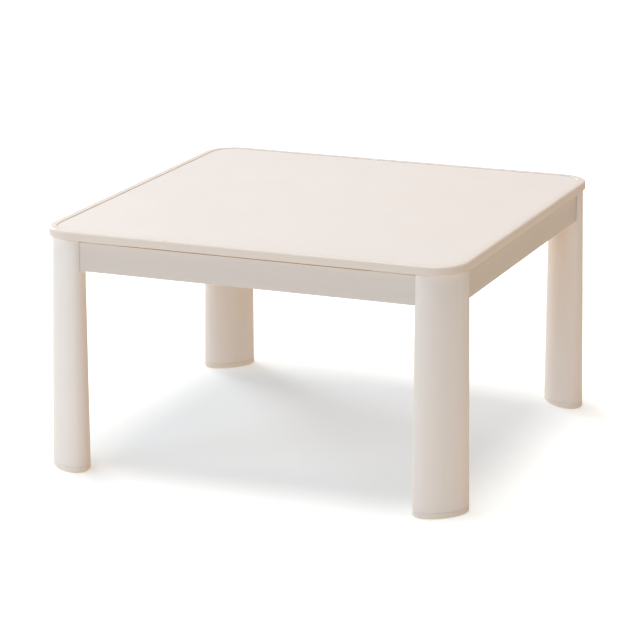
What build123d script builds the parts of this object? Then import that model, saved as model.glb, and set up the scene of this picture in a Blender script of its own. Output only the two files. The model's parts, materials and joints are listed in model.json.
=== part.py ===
from build123d import *
import math
import os

# Low square heated table (kotatsu): a loose top on a rail frame, four oval legs clamped into the
# corners by hand knobs, and an electric quartz heater slung under the frame.
# Millimetres. Origin: centre of the footprint on the floor. +Z up, front towards -Y, right towards +X.

# ---------------------------------------------------------------- driving dimensions
# Tabletop
top_width = 680.0
top_thickness = 14.0
top_corner_radius = 52.0
total_height = 385.0
band_width = 12.5
band_upper_round = 3.4
band_lower_round = 1.6
band_rise = 1.0
band_inner_chamfer = 0.4
facing_thickness = 0.8
seam_width = 0.4
rest_pad_length = 66.0
rest_pad_thickness = 2.7
rest_pad_inset = 1.0
rest_pad_end_gap = 4.0

# Rails of the frame
rail_height = 45.5
rail_thickness = 18.0
rail_recess = 8.0
rail_edge_round = 0.8
rail_end_chamfer = 0.5
bevel_distance = 53.0

# Legs: an upright oval across each corner, thicker at the foot than at the top.
# Distances are measured from the top's square corner along the diagonal.
leg_top_reach = 50.5
leg_top_half_width = 42.5
leg_top_half_depth = 22.0
leg_foot_reach = 47.0
leg_foot_half_width = 45.5
leg_foot_half_depth = 27.0
leg_top_gap = 0.5
leg_top_chamfer = 0.8
leg_joint_chamfer = 0.6
foot_cap_height = 9.5
foot_cap_chamfer = 2.4
foot_screw_spacing = 46.0
foot_screw_length = 24.0
foot_screw_recess = 4.2

# Leg clamps: hanger bolt, bracket, washer and knob
bolt_diameter = 8.0
bolt_depth_in_leg = 18.0
bolt_reach_past_bracket = 13.5
bolt_end_chamfer = 1.0
bracket_setback = 20.0
bracket_sheet = 2.0
bracket_height = 34.0
bracket_flange_length = 28.0
bracket_lip_depth = 9.0
bracket_bend_radius = 2.0
bracket_screw_spacing = 16.0
bracket_screw_length = 14.0
washer_diameter = 22.0
washer_thickness = 1.6
knob_diameter = 35.0
knob_thickness = 12.0
knob_hub_diameter = 19.0
knob_hub_height = 4.0
knob_lobes = 6
knob_scallop_radius = 4.6
knob_scallop_ring = 19.57
knob_edge_round = 1.2
knob_cover_thickness = 2.5
knob_bore_diameter = 9.0
nut_width_across_flats = 13.0
nut_thickness = 6.5

# Cross rails that carry the heater
cross_rail_width = 22.0
cross_rail_height = 28.0
dowel_diameter = 8.0
dowel_length = 30.0
dowel_depth_in_rail = 12.0
dowel_spacing = 14.0

# Heater case
heater_width = 280.0
heater_depth = 28.0
heater_corner_radius = 16.0
heater_sheet = 1.0
heater_edge_round = 3.0
heater_side_clearance = 2.0
heater_headroom = 10.0
rim_thickness = 1.2
rim_margin = 9.0
insulation_thickness = 3.0
insulation_margin = 9.0
mount_screw_length = 16.0
mount_screw_inset = 40.0

# Radiant elements
tube_spacing = 110.0
tube_diameter = 12.0
tube_wall = 1.2
tube_end_room = 27.0
tube_drop = 22.0
coil_diameter = 8.8
coil_core_diameter = 7.0
coil_pitch = 4.5
coil_end_gap = 1.0
coil_pin_diameter = 3.0
coil_pin_length = 6.0
cap_diameter = 17.0
cap_collar_diameter = 20.0
cap_collar_thickness = 2.0
cap_length = 20.0
cap_bore_depth = 10.0
holder_sheet = 1.0
holder_foot = 10.0
holder_reach_past_tube = 23.0
holder_drop = 31.0
holder_screw_inset = 16.0
holder_screw_length = 7.5
reflector_sheet = 1.0
reflector_side_gap = 12.0
reflector_skirt_run = 34.0
reflector_skirt_drop = 20.0
reflector_ridge_half = 18.0
reflector_ridge_drop = 12.0
reflector_end_gap = 0.5

# Electrical pieces in the back of the heater case
inlet_offset = 0.0
inlet_body = (34.0, 24.0, 20.0)
inlet_flange = (44.0, 2.0, 24.0)
inlet_mouth = (26.0, 13.0)
inlet_mouth_corner = 6.0
inlet_mouth_depth = 20.0
inlet_edge_chamfer = 1.0
inlet_front_reach = 10.0
inlet_pin_diameter = 4.0
inlet_pin_spacing = 12.7
inlet_pin_length = 13.0
inlet_tail_length = 5.0
terminal_block_size = (38.0, 10.0, 11.0)
terminal_block_offset = 90.0
terminal_screw_pitch = 12.0
terminal_groove = (1.5, 1.5)
thermostat_diameter = 15.0
thermostat_flange_height = 4.8
thermostat_cup_diameter = 10.5
thermostat_height = 8.0
thermostat_offset = 90.0
thermostat_blade = (25.0, 5.0, 0.8)
fuse_offset = 42.0
fuse_diameter = 4.0
fuse_length = 13.0
fuse_tail_length = 4.0
fuse_tail_diameter = 1.2
fuse_clip = (5.0, 6.0, 4.8)
wire_diameter = 2.2
wire_bend = 3.0
wire_slack = 9.0
bridge_wire_rise = 7.0
bridge_wire_run = 8.0
bridge_wire_start = 14.0

# Guard under the elements
guard_frame_corner = 20.0
guard_frame_border = 25.0
guard_frame_thickness = 2.0
guard_wire_diameter = 2.4
guard_rim_wire_diameter = 3.2
guard_rim_overlap = 7.0
guard_depth = 13.0
guard_slope = 12.0
guard_wire_count = 13
guard_wire_margin = 29.0
guard_tie_count = 5
guard_tie_margin = 31.0
guard_bend_radius = 6.0
guard_weld_bite = 0.6
guard_screw_inset = 40.0
guard_screw_length = 7.0

# Screws: shank diameter, head diameter, head height, then shares of a head shared by all of them
wood_screw = (3.8, 7.6, 2.4)
foot_screw = (3.8, 7.2, 2.2)
sheet_screw = (3.0, 6.0, 1.8)
terminal_screw = (2.6, 5.0, 1.6)
head_flat_share = 0.68
head_rim_share = 0.45
recess_length_share = 0.5
recess_width_share = 0.12
recess_depth_share = 0.6

# Fits
hole_clearance = 0.05
turning_clearance = 0.06
knob_face_gap = 0.2
sheet_hole_clearance = 0.2

# ---------------------------------------------------------------- levels and places worked out from them
half_top = top_width / 2
top_underside = total_height - top_thickness
facing_face = total_height - band_rise
rail_top = top_underside - rest_pad_thickness
leg_top = top_underside - leg_top_gap
rail_bottom = rail_top - rail_height
rail_middle = (rail_top + rail_bottom) / 2
rail_outer = half_top - rail_recess
rail_inner = rail_outer - rail_thickness
bevel_half = half_top + rail_recess - bevel_distance * math.sqrt(2)
bracket_reach = bevel_distance + bracket_setback
washer_reach = bracket_reach + bracket_sheet
knob_reach = washer_reach + washer_thickness + knob_face_gap
bolt_end = washer_reach + bolt_reach_past_bracket
heater_half = heater_width / 2
mount_screw_spacing = heater_width - 2 * mount_screw_inset
guard_screw_spacing = heater_width - 2 * guard_screw_inset
tube_length = heater_width - 2 * tube_end_room
holder_width = tube_spacing + 2 * holder_reach_past_tube
holder_screw_spacing = holder_width - 2 * holder_screw_inset
reflector_half_width = heater_half - reflector_side_gap
reflector_flat_half = reflector_half_width - reflector_skirt_run
guard_frame_width = heater_width + 2 * rim_margin
guard_frame_opening = guard_frame_width - 2 * guard_frame_border
guard_rim_width = guard_frame_opening + 2 * guard_rim_overlap
guard_wire_pitch = (guard_rim_width - 2 * guard_wire_margin) / (guard_wire_count - 1)
guard_tie_pitch = (guard_rim_width - 2 * guard_tie_margin) / (guard_tie_count - 1)
case_top = top_underside - heater_headroom
case_rim = case_top - heater_depth
ceiling = case_top - heater_sheet
insulation_face = ceiling - insulation_thickness
element_level = case_top - tube_drop
rim_underside = case_rim - rim_thickness
guard_frame_underside = rim_underside - guard_frame_thickness
guard_rim_level = guard_frame_underside - guard_rim_wire_diameter / 2
cross_rail_place = heater_half + heater_side_clearance + cross_rail_width / 2
holder_place = tube_length / 2 - cap_bore_depth / 2
cap_inner_end = tube_length / 2 - cap_bore_depth + hole_clearance
cap_outer_end = cap_inner_end + cap_length
element_places = (-tube_spacing / 2, tube_spacing / 2)

corners = {
    "front_left": (-1, -1),
    "front_right": (1, -1),
    "back_right": (1, 1),
    "back_left": (-1, 1),
}


# ---------------------------------------------------------------- helpers
def corner_place(side_x, side_y):
    """Origin on the floor under the top's square corner, +X along the diagonal towards the middle."""
    heading = math.degrees(math.atan2(-side_y, -side_x))
    return Location((side_x * half_top, side_y * half_top, 0), (0, 0, heading))


def aimed(origin, direction):
    """A place whose +Z looks along the direction."""
    return Location(Plane(origin=origin, z_dir=direction))


def cylinder_along(origin, direction, diameter, length):
    return aimed(origin, direction) * Cylinder(diameter / 2, length, align=(Align.CENTER, Align.CENTER, Align.MIN))


def tube_along(origin, direction, outer, inner, length):
    return cylinder_along(origin, direction, outer, length) - cylinder_along(origin, direction, inner, length)


def upright_plate(outline, bottom, thickness):
    return Pos(0, 0, bottom) * extrude(outline, thickness)


def screw(kind, length):
    """Cross-recess screw driven along +Z, its head seated at z = 0."""
    shank, head, head_height = kind
    tip = shank
    outline = Polyline(
        (0, -head_height),
        (head / 2 * head_flat_share, -head_height),
        (head / 2, -head_height * head_rim_share),
        (head / 2, 0),
        (shank / 2, 0),
        (shank / 2, length - tip),
        (0, length),
        close=True,
    )
    body = revolve(make_face(Plane.XZ * outline), Axis.Z)
    slot = Box(head * recess_length_share, head * recess_width_share, head_height,
               align=(Align.CENTER, Align.CENTER, Align.MAX))
    recess = Pos(0, 0, -head_height * (1 - recess_depth_share)) * (slot + Rot(0, 0, 90) * slot)
    return body - recess


def screws_at(places, kind, length):
    return [place * screw(kind, length) for place in places]


def pilot_holes(places, kind, length):
    """Holes that the shanks of these screws sit in."""
    hole = Cylinder(kind[0] / 2 + hole_clearance, length, align=(Align.CENTER, Align.CENTER, Align.MIN))
    return [place * hole for place in places]


def through_holes(places, kind, reach):
    """Clearance holes to both sides of a sheet or plate."""
    hole = Cylinder(kind[0] / 2 + sheet_hole_clearance, 2 * reach)
    return [place * hole for place in places]


# ---------------------------------------------------------------- tabletop
def top_outline(inset):
    side = top_width - 2 * inset
    return RectangleRounded(side, side, top_corner_radius - inset)


def top_edge_band():
    """Soft moulded band round the board. It is rounded over and stands a little above the facing."""
    slab = upright_plate(top_outline(0), top_underside, top_thickness)
    slab = fillet(slab.edges().group_by(Axis.Z)[-1], band_upper_round)
    slab = fillet(slab.edges().group_by(Axis.Z)[0], band_lower_round)
    flare = loft(
        [
            Pos(0, 0, total_height - band_inner_chamfer) * top_outline(band_width),
            Pos(0, 0, total_height) * top_outline(band_width - band_inner_chamfer),
        ],
        ruled=True,
    )
    return slab - upright_plate(top_outline(band_width), top_underside, top_thickness) - flare


def top_core():
    bottom = top_underside + facing_thickness
    return upright_plate(top_outline(band_width), bottom, facing_face - facing_thickness - bottom)


def top_facing(bottom):
    """Decorative sheet bonded to one side of the core, with a narrow seam left round it."""
    return upright_plate(top_outline(band_width + seam_width), bottom, facing_thickness)


# ---------------------------------------------------------------- screw and dowel places
def bracket_screw_places():
    """Along the diagonal frame of one corner: two screws in each flange, driven into the rail."""
    places = []
    turn = math.sqrt(0.5)
    foot = bracket_reach - (half_top - rail_inner) * math.sqrt(2)
    for side in (-1, 1):
        for step in (-0.5, 0.5):
            along = bracket_flange_length / 2 + bracket_bend_radius / 2 + step * bracket_screw_spacing
            x = bracket_reach + along * turn + bracket_sheet * turn
            y = side * (foot + along * turn - bracket_sheet * turn)
            places.append(aimed((x, y, rail_middle), (-turn, side * turn, 0)))
    return places


def dowel_places(end):
    """Dowels in one end of both cross rails, laid along +Y towards that end."""
    start = rail_inner + dowel_depth_in_rail - dowel_length
    level = case_rim + cross_rail_height / 2
    places = []
    for side in (-1, 1):
        for step in (-0.5, 0.5):
            origin = (side * cross_rail_place, end * start, level + step * dowel_spacing)
            places.append(aimed(origin, (0, end, 0)))
    return places


def dowels(end, extra):
    """The dowels themselves, or with extra their holes."""
    peg = Cylinder(dowel_diameter / 2 + extra, dowel_length + extra, align=(Align.CENTER, Align.CENTER, Align.MIN))
    return [place * peg for place in dowel_places(end)]


def mount_screw_places():
    """Screws through the heater's rim, up into the cross rails."""
    return [
        Location((side * cross_rail_place, end * mount_screw_spacing / 2, rim_underside))
        for side in (-1, 1)
        for end in (-1, 1)
    ]


# ---------------------------------------------------------------- frame
def front_rail_blank():
    """Rail along the front, both ends bevelled to the legs' flat inner faces."""
    tip = rail_end_chamfer * math.sqrt(0.5)
    right_end = [
        (bevel_half - rail_end_chamfer, -rail_outer),
        (bevel_half + tip, -rail_outer + tip),
        (bevel_half + rail_thickness, -rail_inner),
    ]
    left_end = [(-x, y) for x, y in reversed(right_end)]
    rail = upright_plate(make_face(Polyline(*right_end, *left_end, close=True)), rail_bottom, rail_height)
    return fillet(rail.faces().sort_by(Axis.Y)[0].edges().filter_by(Axis.X), rail_edge_round)


def rail(quarter_turns, ends_of_cross_rails):
    """One of the four rails, with its bracket screws' pilot holes and any dowel holes."""
    shape = Rot(0, 0, 90 * quarter_turns) * front_rail_blank()
    for side_x, side_y in corners.values():
        places = [corner_place(side_x, side_y) * place for place in bracket_screw_places()]
        for hole in pilot_holes(places, wood_screw, bracket_screw_length):
            shape -= hole
    for end in ends_of_cross_rails:
        for hole in dowels(end, hole_clearance):
            shape -= hole
    return shape


def cross_rail(side):
    """Bar from the front rail to the back rail beside the heater."""
    bar = Box(cross_rail_width, 2 * rail_inner, cross_rail_height, align=(Align.CENTER, Align.CENTER, Align.MIN))
    bar = Pos(side * cross_rail_place, 0, case_rim) * bar
    for end in (-1, 1):
        for hole in dowels(end, hole_clearance):
            bar -= hole
    for hole in pilot_holes(mount_screw_places(), wood_screw, mount_screw_length):
        bar -= hole
    return bar


def corner_bracket():
    """Folded steel bracket across one corner, in that corner's own frame."""
    turn = math.sqrt(0.5)
    bend_y = bracket_reach - (half_top - rail_inner) * math.sqrt(2)
    run = bracket_flange_length * turn
    shift = bracket_sheet * turn
    inner_bend = bend_y - bracket_sheet * math.tan(math.radians(22.5))
    inner_x = bracket_reach + bracket_sheet
    half = [
        (bracket_reach, bend_y),
        (bracket_reach + run, bend_y + run),
        (bracket_reach + run + shift, bend_y + run - shift),
        (inner_x, inner_bend),
    ]
    mirrored = [(x, -y) for x, y in reversed(half)]
    low = rail_middle - bracket_height / 2
    plate = upright_plate(make_face(Polyline(*half, *mirrored, close=True)), low, bracket_height)
    inner_edges = plate.edges().filter_by(Axis.Z).filter_by_position(Axis.X, inner_x - 0.01, inner_x + 0.01)
    plate = fillet(inner_edges, bracket_bend_radius)
    lip = Box(bracket_lip_depth, 2 * bend_y - 2 * bracket_lip_depth, bracket_sheet,
              align=(Align.MAX, Align.CENTER, Align.MIN))
    plate += Pos(bracket_reach, 0, low) * lip
    plate += Pos(bracket_reach, 0, low + bracket_height - bracket_sheet) * lip
    plate -= cylinder_along((bevel_distance, 0, rail_middle), (1, 0, 0), bolt_diameter + 2 * sheet_hole_clearance,
                            2 * bracket_setback)
    for hole in through_holes(bracket_screw_places(), wood_screw, bracket_sheet * 2):
        plate -= hole
    return plate


def rest_pads():
    """Soft strips on both ends of each rail, which the loose top lies on."""
    pads = []
    reach = (rail_outer + rail_inner) / 2
    place = bevel_half - rest_pad_end_gap - rest_pad_length / 2
    strip = Box(rest_pad_length, rail_thickness - 2 * rest_pad_inset, rest_pad_thickness,
                align=(Align.CENTER, Align.CENTER, Align.MIN))
    for turns in range(4):
        for side in (-1, 1):
            pads.append(Rot(0, 0, 90 * turns) * Pos(side * place, -reach, rail_top) * strip)
    return pads


# ---------------------------------------------------------------- legs, in the corner's own frame
def leg_section(level, inset):
    """The leg's oval at a height, drawn in by the inset."""
    share = level / leg_top
    reach = leg_foot_reach + share * (leg_top_reach - leg_foot_reach)
    half_depth = leg_foot_half_depth + share * (leg_top_half_depth - leg_foot_half_depth)
    half_width = leg_foot_half_width + share * (leg_top_half_width - leg_foot_half_width)
    return Pos(reach, 0, level) * Ellipse(half_depth - inset, half_width - inset)


def oval_column(bottom, top, bottom_chamfer, top_chamfer):
    sections = [
        leg_section(bottom, bottom_chamfer),
        leg_section(bottom + bottom_chamfer, 0),
        leg_section(top - top_chamfer, 0),
        leg_section(top, top_chamfer),
    ]
    return loft(sections, ruled=True)


def foot_screw_places():
    """Two screws driven up through the foot cap, their heads sunk in it."""
    return [
        Location((leg_foot_reach, side * foot_screw_spacing / 2, foot_screw_recess))
        for side in (-1, 1)
    ]


def leg():
    """Oval leg with a rebated top that hugs the frame's bevelled corner."""
    column = oval_column(foot_cap_height, leg_top, leg_joint_chamfer, leg_top_chamfer)
    rebate = Box(leg_foot_half_width * 2, leg_foot_half_width * 4, rail_height * 2,
                 align=(Align.MIN, Align.CENTER, Align.MIN))
    column -= Pos(bevel_distance, 0, rail_bottom) * rebate
    column -= cylinder_along((bevel_distance, 0, rail_middle), (-1, 0, 0),
                             bolt_diameter + 2 * hole_clearance, bolt_depth_in_leg + hole_clearance)
    for hole in pilot_holes(foot_screw_places(), foot_screw, foot_screw_length):
        column -= hole
    return column


def foot_cap():
    """Moulded glide under the leg, chamfered at the floor."""
    cap = oval_column(0, foot_cap_height, foot_cap_chamfer, leg_joint_chamfer)
    head_room = foot_screw[1] + 4 * sheet_hole_clearance
    for place in foot_screw_places():
        cap -= place * Cylinder(foot_screw[0] / 2 + sheet_hole_clearance, foot_cap_height,
                                align=(Align.CENTER, Align.CENTER, Align.MIN))
        cap -= place * Cylinder(head_room / 2, foot_screw_recess, align=(Align.CENTER, Align.CENTER, Align.MAX))
    return cap


def hanger_bolt():
    """Bolt set in the leg, with a chamfered threaded end for the knob."""
    start = bevel_distance - bolt_depth_in_leg
    bolt = cylinder_along((start, 0, rail_middle), (1, 0, 0), bolt_diameter, bolt_end - start)
    return chamfer(bolt.edges().filter_by(GeomType.CIRCLE), bolt_end_chamfer)


def washer():
    return tube_along((washer_reach, 0, rail_middle), (1, 0, 0), washer_diameter,
                      bolt_diameter + 2 * sheet_hole_clearance, washer_thickness)


def nut_outline():
    return RegularPolygon(nut_width_across_flats / 2, 6, major_radius=False)


def knob_place():
    return aimed((knob_reach, 0, rail_middle), (1, 0, 0))


def knob():
    """Lobed hand knob, its hub towards the washer and its end closed over the bolt."""
    grip = Circle(knob_diameter / 2)
    scallop = Circle(knob_scallop_radius)
    for lobe in range(knob_lobes):
        angle = math.radians(360 / knob_lobes * (lobe + 0.5))
        grip -= Pos(knob_scallop_ring * math.cos(angle), knob_scallop_ring * math.sin(angle)) * scallop
    body = upright_plate(grip, knob_hub_height, knob_thickness)
    body = fillet(body.edges().group_by(Axis.Z)[-1], knob_edge_round)
    body += Cylinder(knob_hub_diameter / 2, knob_hub_height, align=(Align.CENTER, Align.CENTER, Align.MIN))
    body -= extrude(nut_outline(), nut_thickness)
    bore_depth = knob_hub_height + knob_thickness - knob_cover_thickness
    body -= Cylinder(knob_bore_diameter / 2, bore_depth, align=(Align.CENTER, Align.CENTER, Align.MIN))
    return knob_place() * body


def knob_nut():
    """Steel nut moulded into the knob."""
    nut = extrude(nut_outline(), nut_thickness)
    nut -= Cylinder(bolt_diameter / 2 + turning_clearance, 4 * nut_thickness)
    return knob_place() * nut


# ---------------------------------------------------------------- heater case
def square_outline(side, radius):
    return RectangleRounded(side, side, radius)


def heater_case():
    """Pressed steel pan, open below, with a rim that reaches under the cross rails."""
    shell = upright_plate(square_outline(heater_width, heater_corner_radius), case_rim, heater_depth)
    shell = fillet(shell.edges().group_by(Axis.Z)[-1], heater_edge_round)
    rim_side = 2 * (cross_rail_place + cross_rail_width / 2) - heater_side_clearance
    rim = RectangleRounded(rim_side, heater_width + 2 * rim_margin, heater_corner_radius)
    shell += upright_plate(rim, rim_underside, rim_thickness)
    inside = square_outline(heater_width - 2 * heater_sheet, heater_corner_radius - heater_sheet)
    shell -= upright_plate(inside, rim_underside, ceiling - rim_underside)
    window = Box(inlet_body[0], 6 * heater_sheet, inlet_body[2])
    shell -= Pos(inlet_offset, heater_half, inlet_level()) * window
    for hole in through_holes(mount_screw_places(), wood_screw, rim_thickness * 2):
        shell -= hole
    for hole in through_holes(guard_screw_places(), sheet_screw, guard_screw_length):
        shell -= hole
    for hole in through_holes(holder_screw_places(), sheet_screw, holder_screw_length):
        shell -= hole
    return shell


def insulation_board():
    """Heat-proof board under the pan's ceiling."""
    side = heater_width - 2 * insulation_margin
    board = upright_plate(square_outline(side, heater_corner_radius), insulation_face, insulation_thickness)
    for hole in through_holes(holder_screw_places(), sheet_screw, holder_screw_length):
        board -= hole
    return board


def reflector():
    """Bright folded sheet: a wide trough over each tube and a ridge between them."""
    upper = [
        (-reflector_half_width, insulation_face - reflector_skirt_drop),
        (-reflector_flat_half, insulation_face),
        (-reflector_ridge_half, insulation_face),
        (0, insulation_face - reflector_ridge_drop),
        (reflector_ridge_half, insulation_face),
        (reflector_flat_half, insulation_face),
        (reflector_half_width, insulation_face - reflector_skirt_drop),
    ]
    lower = [(x, z - reflector_sheet) for x, z in reversed(upper)]
    profile = make_face(Plane.XZ * Polyline(*upper, *lower, close=True))
    return extrude(profile, holder_place - holder_sheet / 2 - reflector_end_gap, both=True)


# ---------------------------------------------------------------- radiant elements
def quartz_tube(place):
    return tube_along((place, -tube_length / 2, element_level), (0, 1, 0), tube_diameter,
                      tube_diameter - 2 * tube_wall, tube_length)


def heating_coil(place):
    """Wound coil inside the tube as one ridged solid, with a terminal pin at each end."""
    half = tube_length / 2 - coil_end_gap
    turns = int(2 * (half - coil_pitch) / coil_pitch)
    start = -turns * coil_pitch / 2
    pin = coil_pin_diameter / 2
    reach = cap_outer_end + coil_pin_length
    outline = [(0, -reach), (pin, -reach), (pin, start)]
    for turn in range(turns):
        along = start + turn * coil_pitch
        outline.append((coil_core_diameter / 2, along))
        outline.append((coil_diameter / 2, along + coil_pitch / 2))
    outline.append((coil_core_diameter / 2, -start))
    outline += [(pin, -start), (pin, reach), (0, reach)]
    profile = make_face(Polyline(*outline, close=True))
    return Pos(place, 0, element_level) * revolve(profile, Axis.Y)


def ceramic_cap(place, end):
    """Ceramic bush on one end of a tube, its collar against the holder."""
    origin = (place, end * cap_inner_end, element_level)
    outward = (0, end, 0)
    cap = cylinder_along(origin, outward, cap_diameter, cap_length)
    collar_start = holder_place - holder_sheet / 2 - cap_collar_thickness
    cap += cylinder_along((place, end * collar_start, element_level), outward, cap_collar_diameter,
                          cap_collar_thickness)
    cap -= cylinder_along(origin, outward, tube_diameter + 2 * hole_clearance, cap_bore_depth)
    cap -= cylinder_along(origin, outward, coil_pin_diameter + 2 * hole_clearance, cap_length)
    return cap


def holder_screw_places():
    """Screws up through the holders' feet into the case."""
    foot_middle = holder_place + holder_sheet / 2 + holder_foot / 2
    return [
        Location((side * holder_screw_spacing / 2, end * foot_middle, insulation_face - holder_sheet))
        for end in (-1, 1)
        for side in (-1, 1)
    ]


def tube_holder(end):
    """Folded plate that carries one end of both tubes."""
    plate = Box(holder_width, holder_sheet, holder_drop, align=(Align.CENTER, Align.CENTER, Align.MAX))
    plate = Pos(0, end * holder_place, insulation_face) * plate
    foot = Box(holder_width, holder_foot, holder_sheet, align=(Align.CENTER, Align.CENTER, Align.MAX))
    plate += Pos(0, end * (holder_place + holder_sheet / 2 + holder_foot / 2), insulation_face) * foot
    for place in element_places:
        plate -= cylinder_along((place, end * cap_inner_end, element_level), (0, end, 0),
                                cap_diameter + 2 * hole_clearance, cap_length)
    for hole in through_holes(holder_screw_places(), sheet_screw, holder_sheet * 2):
        plate -= hole
    return plate


# ---------------------------------------------------------------- electrical pieces
def inlet_level():
    return case_rim + heater_depth / 2


def power_inlet():
    """Moulded appliance inlet let into the back wall of the case."""
    mouth_y = heater_half + inlet_front_reach
    body = Box(inlet_body[0], inlet_body[1], inlet_body[2], align=(Align.CENTER, Align.MAX, Align.CENTER))
    body = Pos(inlet_offset, mouth_y, inlet_level()) * body
    body = chamfer(body.faces().sort_by(Axis.Y)[-1].edges(), inlet_edge_chamfer)
    flange = Box(*inlet_flange, align=(Align.CENTER, Align.MIN, Align.CENTER))
    body += Pos(inlet_offset, heater_half, inlet_level()) * flange
    mouth = Plane(origin=(inlet_offset, mouth_y, inlet_level()), x_dir=(1, 0, 0), z_dir=(0, -1, 0))
    outline = RectangleRounded(*inlet_mouth, inlet_mouth_corner)
    body -= extrude(mouth * outline, inlet_mouth_depth)
    for pin in inlet_pins(hole_clearance):
        body -= pin
    return body


def inlet_pins(extra):
    """The two contact pins, or with extra their holes."""
    floor_y = heater_half + inlet_front_reach - inlet_mouth_depth
    length = inlet_pin_length + inlet_body[1] - inlet_mouth_depth + inlet_tail_length
    pins = []
    for side in (-1, 1):
        origin = (inlet_offset + side * inlet_pin_spacing / 2, floor_y + inlet_pin_length, inlet_level())
        pins.append(cylinder_along(origin, (0, -1, 0), inlet_pin_diameter + 2 * extra, length))
    return pins


def terminal_level():
    return insulation_face - terminal_block_size[2]


def terminal_row_y():
    """Middle of the strip between the holders' feet and the back wall."""
    foot_end = holder_place + holder_sheet / 2 + holder_foot
    return (foot_end + heater_half - heater_sheet) / 2


def terminal_screw_places():
    return [
        Location((terminal_block_offset + step * terminal_screw_pitch, terminal_row_y(), terminal_level()))
        for step in (-1, 0, 1)
    ]


def terminal_block():
    block = Box(*terminal_block_size, align=(Align.CENTER, Align.CENTER, Align.MIN))
    block = Pos(terminal_block_offset, terminal_row_y(), terminal_level()) * block
    for step in (-0.5, 0.5):
        groove = Box(terminal_groove[0], terminal_block_size[1] * 2, 2 * terminal_groove[1])
        block -= Pos(terminal_block_offset + step * terminal_screw_pitch, terminal_row_y(),
                     terminal_level()) * groove
    for hole in pilot_holes(terminal_screw_places(), terminal_screw, terminal_block_size[2] / 2):
        block -= hole
    return block


def thermostat():
    """Bimetal disc thermostat on the insulation board, with a blade terminal on each side."""
    origin = (-thermostat_offset, terminal_row_y(), insulation_face)
    body = cylinder_along(origin, (0, 0, -1), thermostat_diameter, thermostat_flange_height)
    body += cylinder_along(origin, (0, 0, -1), thermostat_cup_diameter, thermostat_height)
    return body + Pos(-thermostat_offset, terminal_row_y(), cutout_level()) * Box(*thermostat_blade)


def cutout_level():
    """Height of the thermostat's blades and the fuse's tails."""
    return insulation_face - fuse_diameter / 2


def thermal_fuse():
    """One-shot cut-out in a clip, beside the thermostat."""
    row = terminal_row_y()
    start = -fuse_offset - fuse_length / 2
    body = cylinder_along((start, row, cutout_level()), (1, 0, 0), fuse_diameter, fuse_length)
    body += cylinder_along((start - fuse_tail_length, row, cutout_level()), (1, 0, 0), fuse_tail_diameter,
                           fuse_length + 2 * fuse_tail_length)
    clip = Box(*fuse_clip, align=(Align.CENTER, Align.CENTER, Align.MAX))
    return body + Pos(-fuse_offset, row, insulation_face) * clip


def lead(*points):
    """Insulated lead along straight runs joined by arcs."""
    path = FilletPolyline(*points, radius=wire_bend) if len(points) > 2 else Line(*points)
    start = Plane(origin=path @ 0, z_dir=path % 0)
    return sweep(start * Circle(wire_diameter / 2), path=path)


def lead_wires():
    """Leads between the inlet, the terminal block, the two cut-outs and the elements."""
    pin_y = cap_outer_end + coil_pin_length + wire_diameter / 2
    tail_y = heater_half + inlet_front_reach - inlet_body[1] - inlet_tail_length - wire_diameter / 2
    row = terminal_row_y()
    beside_block = row - wire_diameter
    left, right = element_places
    block_edge = terminal_block_offset - terminal_block_size[0] / 2
    block_level = terminal_level() + terminal_block_size[2] / 2
    over_caps = cutout_level() - wire_diameter
    fuse_right = -fuse_offset + fuse_length / 2 + fuse_tail_length
    fuse_left = -fuse_offset - fuse_length / 2 - fuse_tail_length
    blade_right = -thermostat_offset + thermostat_blade[0] / 2
    blade_left = -thermostat_offset - thermostat_blade[0] / 2
    beside_inlet = inlet_offset + inlet_body[0] / 2 + 3 * wire_diameter
    block_to_element = lead(
        (block_edge, pin_y, block_level),
        (block_edge - wire_slack, pin_y, block_level),
        (block_edge - wire_slack, pin_y, element_level),
        (right - coil_pin_diameter, pin_y, element_level),
    )
    inlet_to_block = lead(
        (inlet_offset + inlet_pin_diameter, tail_y, inlet_level()),
        (beside_inlet, tail_y, inlet_level()),
        (beside_inlet + wire_slack, beside_block, over_caps),
        (block_edge, beside_block, over_caps),
    )
    inlet_to_fuse = lead(
        (inlet_offset - inlet_pin_diameter, tail_y, inlet_level()),
        (-beside_inlet, tail_y, inlet_level()),
        (-beside_inlet, row, cutout_level()),
        (fuse_right, row, cutout_level()),
    )
    fuse_to_thermostat = lead((fuse_left, row, cutout_level()), (blade_right, row, cutout_level()))
    thermostat_to_element = lead(
        (blade_left, row, cutout_level()),
        (blade_left - wire_slack, row, cutout_level()),
        (blade_left - wire_slack, pin_y, element_level),
        (left + coil_pin_diameter, pin_y, element_level),
    )
    element_to_element = lead(
        (left - coil_pin_diameter, -pin_y, element_level),
        (left + bridge_wire_start, -pin_y, element_level),
        (left + bridge_wire_start + bridge_wire_run, -pin_y, element_level + bridge_wire_rise),
        (right - bridge_wire_start - bridge_wire_run, -pin_y, element_level + bridge_wire_rise),
        (right - bridge_wire_start, -pin_y, element_level),
        (right + coil_pin_diameter, -pin_y, element_level),
    )
    return [block_to_element, inlet_to_block, inlet_to_fuse, fuse_to_thermostat, thermostat_to_element,
            element_to_element]


# ---------------------------------------------------------------- guard
def guard_screw_places():
    reach = heater_half + (guard_frame_width - heater_width) / 4
    return [
        Location((side * guard_screw_spacing / 2, end * reach, guard_frame_underside))
        for side in (-1, 1)
        for end in (-1, 1)
    ]


def guard_frame():
    """Flat ring screwed under the case's rim; the wire guard hangs from it."""
    outline = square_outline(guard_frame_width, guard_frame_corner)
    outline -= square_outline(guard_frame_opening, guard_frame_corner / 2)
    ring = upright_plate(outline, guard_frame_underside, guard_frame_thickness)
    for hole in through_holes(guard_screw_places(), sheet_screw, guard_frame_thickness * 2):
        ring -= hole
    return ring


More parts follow.
